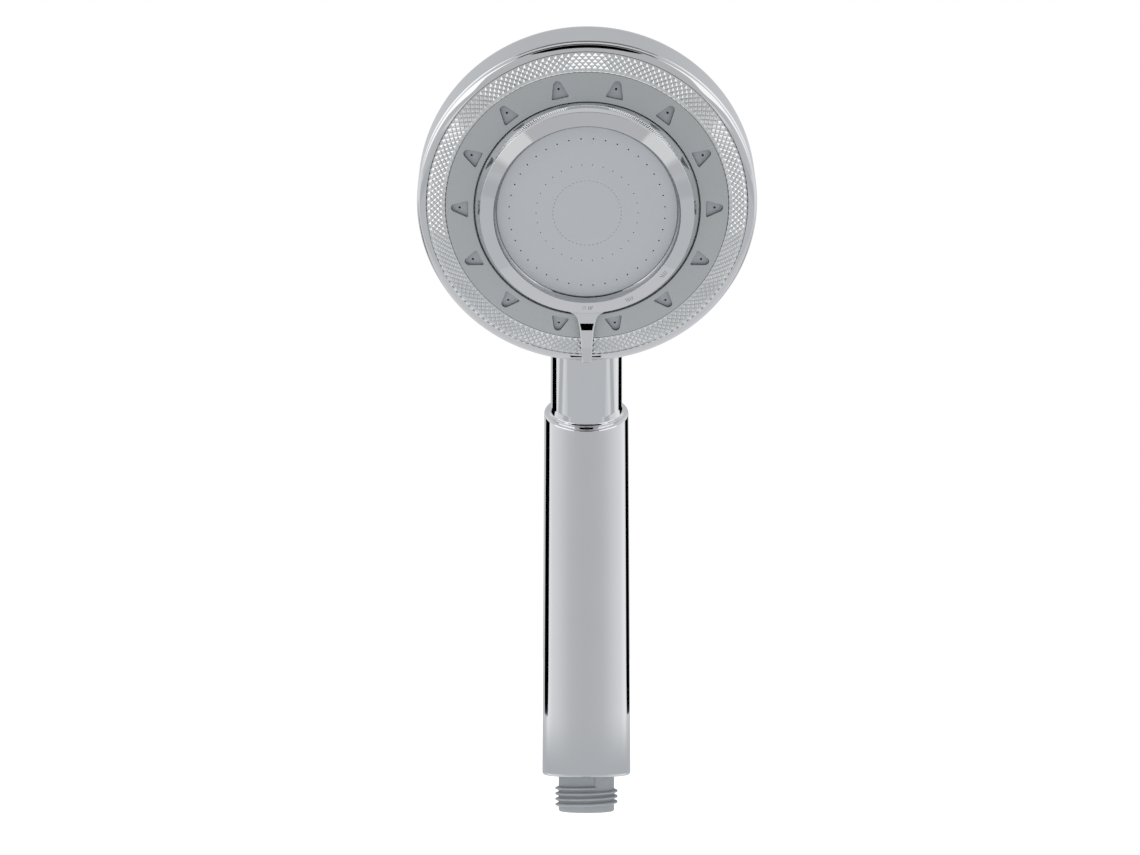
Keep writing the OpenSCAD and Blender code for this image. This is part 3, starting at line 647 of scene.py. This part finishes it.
    def window_cutters(self) -> bpy.types.Object:
        """Rounded triangles, one at each pad's place, that cut the face ring's windows."""
        bm = bmesh.new()
        middle = (self.face_inner_r + half_width("face_ring")) / 2
        for angle in self.pad_angles():
            before = set(bm.verts)
            face = self.pad_outline(bm)
            risen = bmesh.ops.extrude_face_region(bm, geom=[face], use_keep_orig=True)["geom"]
            top = [v for v in risen if isinstance(v, bmesh.types.BMVert)]
            bmesh.ops.translate(bm, vec=Vector((0, 0, 20)), verts=top)
            block = [v for v in bm.verts if v not in before]
            bmesh.ops.translate(bm, vec=Vector((middle, 0, 10)), verts=block)
            bmesh.ops.rotate(bm, verts=block, cent=(0, 0, 0), matrix=Matrix.Rotation(angle, 3, "Z"))
        return to_object(bm, "window_cutters", self.stance.head, Skin.FACE_GREY)

    def pad_outline(self, bm: bmesh.types.BMesh) -> bmesh.types.BMFace:
        """One pad's rounded triangle as a face: wide end inwards, round end outwards."""
        base, tip, half, curve, corner = 2.75, 1.45, 2.95, 1.35, 0.4
        lean = math.atan((half - curve) / (base + tip))
        turn = [lean - math.pi / 2 + (math.pi - 2 * lean) * i / 10 for i in range(11)]
        nose = [(tip + curve * math.cos(a), curve * math.sin(a)) for a in turn]
        low = rounded([(-base, 0, 0), (-base, -half, corner), (*nose[0], 0)], 3)
        high = [(x, -y) for x, y in reversed(low[1:])]
        return bm.faces.new([bm.verts.new((x, y, 0)) for x, y in low[1:] + nose[1:-1] + high])


# ---------------------------------------------------------------- selector

@dataclass(frozen=True)
class LeverStation:
    """One cross-section of the lever. Sizes in millimetres.

    Attributes:
        reach: distance from the head's axis.
        half: half of its width.
        top: height of its front face.
        bottom: height of its back face.
        edge: rounding of its long edges.
    """

    reach: float
    half: float
    top: float
    bottom: float
    edge: float


@dataclass
class Selector:
    """The drum that turns with its lever: bezel, lever, icons and spray plate. Sizes in millimetres."""

    stance: Stance
    face_top: Callable[[float], float]
    lean_in: float = 1.9
    bezel_w: float = 4.3
    cone_z: float = 21.0
    rise: float = 3.85
    bezel_rise: float = 1.55
    plate_z: float = 21.8
    plate_edge: float = 1.8
    plate_dome: float = 0.7
    skirt_z: float = 18.15
    hole_rings: tuple[tuple[float, float, int], ...] = ((25.1, 0.25, 40), (16.4, 0.17, 30), (11.0, 0.14, 52))
    lever_falls: tuple[tuple[float, float], ...] = ((0.0, 16.0), (4.1, 24.0), (7.15, 14.0), (14.0, 0.0))
    lever_end: float = 19.0
    lever_gap: float = 1.0
    lever_plan: tuple[tuple[float, float, float], ...] = (
        (-1.2, 6.2, 0.1), (-0.1, 5.2, 0.1), (0.35, 4.5, 0.12), (0.8, 3.95, 0.14), (1.4, 3.5, 0.18),
        (2.1, 3.2, 0.24), (3.2, 2.92, 0.35), (4.04, 2.8, 0.5), (4.16, 2.79, 0.5), (5.6, 2.55, 0.55),
        (7.09, 2.37, 0.6), (7.21, 2.36, 0.6), (10.6, 2.1, 0.6), (13.94, 1.86, 0.5), (14.06, 1.85, 0.5),
        (17.0, 1.7, 0.5), (19.0, 1.6, 0.5))

    def build(self) -> list[bpy.types.Object]:
        """Builds and dresses the selector's pieces."""
        return [self.bezel(), self.lever(), self.icons(), self.plate()]

    @property
    def drum_r(self) -> float:
        """Outer radius of the drum."""
        return half_width("selector_bezel")

    @property
    def face_r(self) -> tuple[float, float]:
        """Inner and outer radius of the bezel's face."""
        outer = self.drum_r - self.lean_in
        return outer - self.bezel_w, outer

    @property
    def face_z(self) -> tuple[float, float]:
        """Heights of the bezel's face at its inner and outer radius."""
        outer = self.cone_z + self.rise
        return outer + self.bezel_rise, outer

    def bezel(self) -> bpy.types.Object:
        """The bezel: sloped drum wall, bright face and steep plate well."""
        (inner, outer), (inner_z, outer_z) = self.face_r, self.face_z
        well_r = half_width("spray_plate") + 0.05
        return turned("selector_bezel_chrome", rounded([
            (well_r + 1.5, self.skirt_z, 0), (self.drum_r, self.skirt_z, 0.1),
            (self.drum_r, self.cone_z, 0.3), (outer, outer_z, 0.2), (inner, inner_z, 0.15),
            (inner - 0.1, inner_z - 1.1, 0), (inner - 0.25, inner_z - 1.9, 0),
            (inner - 0.52, inner_z - 2.5, 0), (well_r, self.plate_z + self.plate_edge - 0.1, 0.05),
            (well_r, self.skirt_z + 0.4, 0), (well_r + 1.5, self.skirt_z, 0)], 5)[:-1],
            self.stance.head, Skin.CHROME, TURN_STEPS)

    def lever_top(self, reach: float) -> float:
        """Height of the lever's front face: it steps down from the bezel, then levels off over the rim."""
        height = self.face_z[1]
        for start, fall in self.lever_falls:
            run = min(reach - self.face_r[1], self.lever_end) - start
            following = next((s for s, _ in self.lever_falls if s > start), self.lever_end)
            if run > 0 or start == 0.0:
                height -= min(run, following - start) * math.tan(math.radians(fall))
        return height

    def lever_stations(self) -> list[LeverStation]:
        """The lever's cross-sections, from its flared root in the bezel out to its tip."""
        root, stations = self.face_r[1], []
        for reach, half, edge in self.lever_plan:
            r = root + reach
            under = max(self.cone_z + 0.6 - 0.25 * max(reach, 0.0), self.face_top(r) + self.lever_gap)
            sunk = 0.4 if reach < -1.0 else 0.0
            stations.append(LeverStation(r, half, self.lever_top(r) - sunk, under, edge))
        tip = stations[-1]
        return stations + [
            LeverStation(tip.reach + 0.5, tip.half - 0.45, tip.top - 0.35, tip.bottom + 0.35, tip.edge)]

    def lever(self) -> bpy.types.Object:
        """The lever: rounded cross-sections bridged from root to tip."""
        bm = bmesh.new()
        loops = [self.lever_section(bm, station) for station in self.lever_stations()]
        for first, second in zip(loops, loops[1:]):
            bmesh.ops.bridge_loops(bm, edges=first + second)
        for loop in (loops[0], loops[-1]):
            bmesh.ops.contextual_create(bm, geom=loop)
        return even_shading(to_object(bm, "selector_lever", self.stance.head, Skin.CHROME, 50.0))

    def lever_section(self, bm: bmesh.types.BMesh, at: LeverStation) -> list[bmesh.types.BMEdge]:
        """One closed cross-section of the lever at its reach towards the head's bottom."""
        half, edge = at.half, at.edge
        corners = [(0, at.bottom, 0), (half, at.bottom, edge), (half, at.top, edge), (0, at.top, 0)]
        right = rounded(corners, 4)
        outline = right + [(-x, z) for x, z in reversed(right[1:-1])]
        verts = [bm.verts.new((x, -at.reach, z)) for x, z in outline]
        return [bm.edges.new(pair) for pair in zip(verts, verts[1:] + verts[:1])]

    def icons(self) -> bpy.types.Object:
        """Three spray icons etched in the bezel: a cluster of dots with rays, then two fans of rays; each
        stroke is a raised bar whose dark colour is painted groove shade.
        """
        bm = bmesh.new()
        (inner, outer), (inner_z, outer_z) = self.face_r, self.face_z
        for index, angle in enumerate((0.0, 25.0, 50.0)):
            before = set(bm.verts)
            for lean in (-0.34, -0.14, 0.08, 0.28) if index else (0.08, 0.24, 0.4):
                self.stroke(bm, (lean * 3.2 + (0.25 if index else 0.3), 0.0), lean, 1.5)
            for row in range(3) if not index else ():
                for column in range(3):
                    self.stroke(bm, (-1.35 + 0.45 * column, -0.5 + 0.5 * row), 0.0, 0.2)
            made = [v for v in bm.verts if v not in before]
            tilt = math.atan((inner_z - outer_z) / (outer - inner))
            bmesh.ops.rotate(bm, verts=made, cent=(0, 0, 0), matrix=Matrix.Rotation(tilt, 3, "X"))
            middle = (inner + outer) / 2
            bmesh.ops.translate(bm, vec=Vector((0, -middle, (inner_z + outer_z) / 2 + 0.012)), verts=made)
            turn = Matrix.Rotation(math.radians(angle), 3, "Z")
            bmesh.ops.rotate(bm, verts=made, cent=(0, 0, 0), matrix=turn)
        return to_object(bm, "spray_icons", self.stance.head, Skin.ETCHED)

    @staticmethod
    def stroke(bm: bmesh.types.BMesh, centre: tuple[float, float], lean: float, length: float) -> None:
        """One etched stroke: a fine flat bar, leaning this many radians from the radius."""
        made = bmesh.ops.create_cube(bm, size=1.0)["verts"]
        bmesh.ops.scale(bm, vec=Vector((0.16, length, 0.03)), verts=made)
        bmesh.ops.rotate(bm, verts=made, cent=(0, 0, 0), matrix=Matrix.Rotation(-lean, 3, "Z"))
        bmesh.ops.translate(bm, vec=Vector((*centre, 0)), verts=made)

    def plate(self) -> bpy.types.Object:
        """The spray plate: a shallow turned dome, drilled with three rings of jet holes."""
        r = half_width("spray_plate")
        edge = self.plate_z + self.plate_edge
        dome = [(r * (1 - i / 12), edge + self.plate_dome * (1 - (1 - i / 12) ** 2)) for i in range(1, 13)]
        side = [(0.0, self.plate_z), (r, self.plate_z), (r, edge - 0.25), (r - 0.25, edge)]
        plate = turned("spray_plate_grey", side + dome, self.stance.head, Skin.PLATE_GREY, TURN_STEPS, False)
        plate.modifiers.clear()
        bm = bmesh.new()
        for ring, hole, count in self.hole_rings:
            for i in range(count):
                made = bmesh.ops.create_cone(bm, cap_ends=True, segments=12, radius1=hole, radius2=hole,
                                             depth=8)
                angle = math.tau * (i + 0.5) / count - math.pi / 2
                spot = Vector((ring * math.cos(angle), ring * math.sin(angle), edge))
                bmesh.ops.translate(bm, verts=made["verts"], vec=spot)
        cut_away(plate, to_object(bm, "jet_drills", self.stance.head, Skin.PLATE_GREY))
        return even_shading(plate)


# ---------------------------------------------------------------- dressing the CAD nodes

SKIN_OF_SLOT = {
    "chrome_plated_plastic": Skin.CHROME, "grey_abs": Skin.FACE_GREY, "grey_pom": Skin.ACETAL_GREY,
    "grey_silicone": Skin.SILICONE, "natural_pom": Skin.ACETAL_WHITE, "green_pom": Skin.ACETAL_GREEN,
    "black_rubber": Skin.NITRILE, "stainless_steel": Skin.STAINLESS,
}


def dress_nodes() -> int:
    """Gives every CAD node the finish of its material slot.

    Returns:
        How many nodes were dressed.
    """
    slots = {part["node"]: part["material_slot"] for part in frame["record"]["subparts"]}
    for name, node in frame["nodes"].items():
        material = SKIN_OF_SLOT[slots[name]].material
        node.data.materials.clear()
        node.data.materials.append(material)
    return len(slots)


# ---------------------------------------------------------------- studio

@dataclass
class Studio:
    """Plain floor, soft light and camera. Sizes in metres unless named otherwise.

    Attributes:
        stance: the object's frames.
        floor_z: height of the floor.
        distance: from the camera to the middle of the spray face.
        lens_mm: focal length on a 36 mm wide sensor.
        elevation: the camera's elevation in degrees.
        aside: how far the face's middle stands right of the optical axis.
        above: how far it stands above the optical axis.
        nozzle_plane_mm: height of the nozzles' plane above the neck's axis.
    """

    stance: Stance
    floor_z: float = -0.30
    distance: float = 1.168
    lens_mm: float = 114.35
    elevation: float = -1.14
    aside: float = 0.0055
    above: float = 0.0710
    nozzle_plane_mm: float = 18.96

    def build(self) -> None:
        """Builds the whole studio."""
        self.camera()
        self.floor()
        self.sky()
        self.flags()
        self.key_light()
        bpy.context.scene.view_settings.view_transform = "Standard"

    def camera(self) -> None:
        """Stands the camera level with the object, a long lens away."""
        lift = math.radians(self.elevation)
        ahead = Vector((0, math.cos(lift), -math.sin(lift)))
        right = Vector((1, 0, 0))
        up = right.cross(ahead)
        middle = self.stance.head @ Vector((0, 0, self.nozzle_plane_mm * MM))
        lens = bpy.data.cameras.new("camera")
        lens.lens, lens.sensor_width, lens.sensor_fit = self.lens_mm, 36.0, "HORIZONTAL"
        lens.clip_end = 50
        eye = bpy.data.objects.new("camera", lens)
        eye.location = middle - ahead * self.distance - right * self.aside - up * self.above
        eye.rotation_euler = (math.pi / 2 - lift, 0, 0)
        bpy.context.scene.collection.objects.link(eye)
        bpy.context.scene.camera = eye

    def floor(self) -> None:
        """A wide pale floor below the object."""
        bm = bmesh.new()
        bmesh.ops.create_grid(bm, x_segments=4, y_segments=4, size=8.0)
        bmesh.ops.translate(bm, vec=Vector((0, 0, self.floor_z)), verts=bm.verts)
        mesh = bpy.data.meshes.new("floor")
        bm.to_mesh(mesh)
        bm.free()
        material = bpy.data.materials.new("paper_pale_floor")
        material.use_nodes = True
        skin = material.node_tree.nodes["Principled BSDF"]
        skin.inputs["Base Color"].default_value = linear("#F6F6F6")
        skin.inputs["Roughness"].default_value = 0.9
        skin.inputs["Emission Color"].default_value = (1, 1, 1, 1)
        skin.inputs["Emission Strength"].default_value = 0.75
        mesh.materials.append(material)
        floor = bpy.data.objects.new("floor", mesh)
        floor.visible_glossy = False
        bpy.context.scene.collection.objects.link(floor)

    def sky(self) -> None:
        """The soft surroundings: pale sides, a greyer front, and plain white where the camera sees them."""
        world = bpy.data.worlds.new("studio")
        world.use_nodes = True
        tree = world.node_tree
        tree.nodes.clear()
        way = add_node(tree, "ShaderNodeTexCoord").outputs["Generated"]
        axes = add_node(tree, "ShaderNodeSeparateXYZ", Vector=way)
        around = self.ramp(tree, axes.outputs["Y"], -1.0, 1.0, (
            (0.0, "#BFC0C1"), (0.12, "#C4C5C6"), (0.40, "#DADBDC"), (0.62, "#E6E7E8"), (0.77, "#F9FAFA"),
            (0.88, "#D2D4D6"), (1.0, "#CACCCE")))
        height = self.ramp(tree, axes.outputs["Z"], -1.0, 1.0, (
            (0.0, "#EFEFEF"), (0.2, "#F4F4F4"), (0.45, "#FFFFFF"), (0.6, "#FFFFFF"), (0.88, "#E2E2E2"),
            (1.0, "#F2F2F2")))
        product = {"data_type": "RGBA", "blend_type": "MULTIPLY", 0: 1.0}
        shade = add_node(tree, "ShaderNodeMix", product, i6=around, i7=height)
        ray = add_node(tree, "ShaderNodeLightPath")
        seen = add_node(tree, "ShaderNodeMix", {"data_type": "RGBA", MIX_A: linear("#CFCFCF")},
                        i0=ray.outputs["Is Glossy Ray"], i7=shade.outputs[MIX_OUT])
        shown = add_node(tree, "ShaderNodeMix", {"data_type": "RGBA", MIX_B: (1, 1, 1, 1)},
                         i0=ray.outputs["Is Camera Ray"], i6=seen.outputs[MIX_OUT])
        glow = add_node(tree, "ShaderNodeBackground", {"Strength": 1.0}, Color=shown.outputs[MIX_OUT])
        add_node(tree, "ShaderNodeOutputWorld", Surface=glow.outputs[0])
        bpy.context.scene.world = world

    def ramp(self, tree: bpy.types.NodeTree, value: bpy.types.NodeSocket, low: float, high: float,
             stops: Iterable[tuple[float, str]]) -> bpy.types.NodeSocket:
        """A colour ramp over a value between low and high.

        Args:
            tree: the world's nodes.
            value: the socket that drives the ramp.
            low: the value at the ramp's start.
            high: the value at its end.
            stops: (position, sRGB hex) pairs.

        Returns:
            The ramp's colour socket.
        """
        share = add_node(tree, "ShaderNodeMapRange", {"From Min": low, "From Max": high}, Value=value)
        ramp = add_node(tree, "ShaderNodeValToRGB", i0=share.outputs["Result"])
        elements = ramp.color_ramp.elements
        while len(elements) > 1:
            elements.remove(elements[-1])
        for i, (position, colour) in enumerate(stops):
            stop = elements[0] if i == 0 else elements.new(position)
            stop.position, stop.color = position, linear(colour)
        return ramp.outputs["Color"]

    def flags(self) -> None:
        """Cards that only reflections see: they draw the lines and bands along the chrome's edges."""
        for card in (
            Card("flag_left", "#1C1C1E", (0.235, 0.167), 0.5, -132.0, 0.0, 0.0885, 0.03),
            Card("flag_right", "#1C1C1E", (0.26, 0.167), 0.5, 145.0, 0.0, 0.0885, 0.03),
            Card("panel_left", "#FFFFFF", (0.68, 0.47), 0.6, -62.0, 0.0, 0.385, 0.03, 1.25),
            Card("panel_right", "#FFFFFF", (0.6, 0.47), 0.6, 60.0, 0.0, 0.385, 0.03, 1.15),
            Card("gap_front", "#242527", (1.4, 0.55), 1.2, 0.0, 50.0, 0.2, 0.05, 1.0),
            Card("flag_front", "#1C1C1E", (0.62, 0.34), 0.9, 0.0, 18.0, 0.2, 0.15, 0.03),
        ):
            card.build()
        for name, colour, area, glow, fade in (
            ("ground_grey", "#C4C6C8", (-0.765, -1.0, 0.765, -0.18), 1.0, 0.0),
            ("ground_white_left", "#FFFFFF", (-1.5, -0.6, -0.765, 0.1), 0.76, 0.08),
            ("ground_white_right", "#FFFFFF", (0.765, -0.6, 1.5, 0.1), 0.76, 0.08),
            ("ground_far_left", "#FFFFFF", (-1.3, -2.6, -0.34, -1.08), 0.76, 0.22),
            ("ground_far_right", "#FFFFFF", (0.34, -2.6, 1.3, -1.08), 0.76, 0.22),
            ("ground_black", "#1C1C1E", (-0.03, -0.02, 0.03, 0.04), 0.0, 0.0),
        ):
            self.ground(name, colour, area, glow, fade)
        bm = bmesh.new()
        spin_outline(bm, [(0.5, -0.085), (0.5, 0.01)], 96, False)
        hide_card(bm, "skirt", "#BABDBF", 1.0, 0.03, (2,))

    def ground(self, name: str, colour: str, area: tuple[float, float, float, float], glow: float,
               fade: float) -> None:
        """A flat card just over the floor.

        Args:
            name: the card's name.
            colour: its sRGB hex colour.
            area: its low x, low y, high x and high y, in metres.
            glow: strength of its own light.
            fade: width over which its edges turn clear, in metres.
        """
        low_x, low_y, high_x, high_y = area
        bm = bmesh.new()
        bmesh.ops.create_grid(bm, x_segments=1, y_segments=1, size=0.5)
        bmesh.ops.scale(bm, vec=Vector((high_x - low_x, high_y - low_y, 1)), verts=bm.verts)
        middle = Vector(((high_x + low_x) / 2, (high_y + low_y) / 2, self.floor_z + 0.01))
        bmesh.ops.translate(bm, vec=middle, verts=bm.verts)
        hide_card(bm, name, colour, glow, fade)

    def key_light(self) -> None:
        """A large soft light from the upper left front: it shapes the plastics, and no mirror shows it."""
        lamp = bpy.data.lights.new("softbox", "AREA")
        lamp.shape, lamp.size, lamp.size_y, lamp.energy = "RECTANGLE", 0.7, 0.7, 1.3
        light = bpy.data.objects.new("softbox", lamp)
        aim = self.stance.head.translation
        light.location = aim + Vector((-0.55, -0.75, 0.65))
        light.rotation_euler = (aim - light.location).to_track_quat("-Z", "Y").to_euler()
        light.visible_glossy = False
        bpy.context.scene.collection.objects.link(light)


def hide_card(bm: bmesh.types.BMesh, name: str, colour: str, glow: float, fade: float = 0.0,
              axes: Sequence[int] = (0, 1)) -> None:
    """Makes a card of a mesh: it glows or stays dark, and only reflections see it.

    Args:
        bm: the card's mesh, which is freed.
        name: the card's name.
        colour: its sRGB hex colour.
        glow: strength of its own light.
        fade: width over which its edges turn clear, in metres; 0 keeps them hard.
        axes: the axes whose edges turn clear.
    """
    low, high = ([pick(v.co[i] for v in bm.verts) for i in range(3)] for pick in (min, max))
    mesh = bpy.data.meshes.new(name)
    bm.to_mesh(mesh)
    bm.free()
    material = bpy.data.materials.new(f"{name}_card")
    material.use_nodes = True
    skin = material.node_tree.nodes["Principled BSDF"]
    skin.inputs["Base Color"].default_value = (0, 0, 0, 1)
    skin.inputs["Specular IOR Level"].default_value = 0.0
    skin.inputs["Roughness"].default_value = 1.0
    skin.inputs["Emission Color"].default_value = linear(colour)
    skin.inputs["Emission Strength"].default_value = glow
    if fade:
        tree = material.node_tree
        place = add_node(tree, "ShaderNodeTexCoord").outputs["Object"]
        along = add_node(tree, "ShaderNodeSeparateXYZ", Vector=place)
        shown = None
        for i in axes:
            off = add_node(tree, "ShaderNodeMath", {"operation": "SUBTRACT", 1: (low[i] + high[i]) / 2},
                           i0=along.outputs[i])
            far = add_node(tree, "ShaderNodeMath", {"operation": "ABSOLUTE"}, i0=off.outputs[0])
            half = (high[i] - low[i]) / 2
            ramp = {"interpolation_type": "SMOOTHSTEP", "From Min": half, "From Max": half - fade}
            share = add_node(tree, "ShaderNodeMapRange", ramp, Value=far.outputs[0]).outputs["Result"]
            if shown is not None:
                both = add_node(tree, "ShaderNodeMath", {"operation": "MULTIPLY"}, i0=shown, i1=share)
                share = both.outputs[0]
            shown = share
        tree.links.new(shown, skin.inputs["Alpha"])
    mesh.materials.append(material)
    card = bpy.data.objects.new(name, mesh)
    card.visible_camera = card.visible_diffuse = card.visible_shadow = card.visible_transmission = False
    bpy.context.scene.collection.objects.link(card)


@dataclass(frozen=True)
class Card:
    """An upright card that faces the head from a bearing. Sizes in metres, angles in degrees.

    Attributes:
        name: the card's name.
        colour: its sRGB hex colour.
        size: its width and height.
        away: its distance.
        bearing: angle round the object from the camera, positive to the camera's right.
        lift: elevation of its middle.
        level: height of the point that it faces.
        corner: radius of its corners.
        glow: strength of its own light.
    """

    name: str
    colour: str
    size: tuple[float, float]
    away: float
    bearing: float
    lift: float
    level: float
    corner: float
    glow: float = 0.03

    def build(self) -> None:
        """Builds the card in its place."""
        bm = bmesh.new()
        bmesh.ops.create_grid(bm, x_segments=1, y_segments=1, size=0.5)
        bmesh.ops.scale(bm, vec=Vector((*self.size, 1)), verts=bm.verts)
        bmesh.ops.bevel(bm, geom=bm.verts[:], offset=self.corner, affect="VERTICES", segments=6,
                        profile=0.5, material=-1)
        bmesh.ops.rotate(bm, verts=bm.verts, cent=(0, 0, 0), matrix=Matrix.Rotation(math.pi / 2, 3, "X"))
        bmesh.ops.translate(bm, verts=bm.verts, vec=Vector((0, -self.away, 0)))
        lift = Matrix.Rotation(math.radians(-self.lift), 3, "X")
        bearing = Matrix.Rotation(math.radians(self.bearing), 3, "Z")
        bmesh.ops.rotate(bm, verts=bm.verts, cent=(0, 0, 0), matrix=bearing @ lift)
        bmesh.ops.translate(bm, verts=bm.verts, vec=Vector((0, 0, self.level)))
        hide_card(bm, self.name, self.colour, self.glow)


# ---------------------------------------------------------------- the whole object

def main() -> None:
    """Builds the studio, dresses the frame, then builds each sub-assembly and hangs it on its body."""
    logging.basicConfig(level=logging.INFO, format="%(name)s: %(message)s")
    stance = Stance()
    Studio(stance).build()
    LOG.info("dressed %d nodes", dress_nodes())
    handle, head = Handle(stance), Head(stance)
    selector = Selector(stance, head.face_top)
    stands_for = {
        "grip_sleeve_shell": "grip_sleeve", "hose_connection_body": "hose_spigot",
        "head_shell_cup": "head_shell", "knurled_trim": "knurled_ring", "face_ring_grey": "face_ring",
        "selector_bezel_chrome": "selector_bezel", "spray_plate_grey": "spray_plate",
    }
    for assembly, body in ((handle, "handle"), (head, "handle"), (selector, "selector")):
        for piece in assembly.build():
            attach(piece, body)
            if piece.name in stands_for:
                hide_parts(stands_for[piece.name])
            LOG.info("%s: %d faces, rides on %s", piece.name, len(piece.data.polygons), body)


if __name__ == "__main__":
    main()
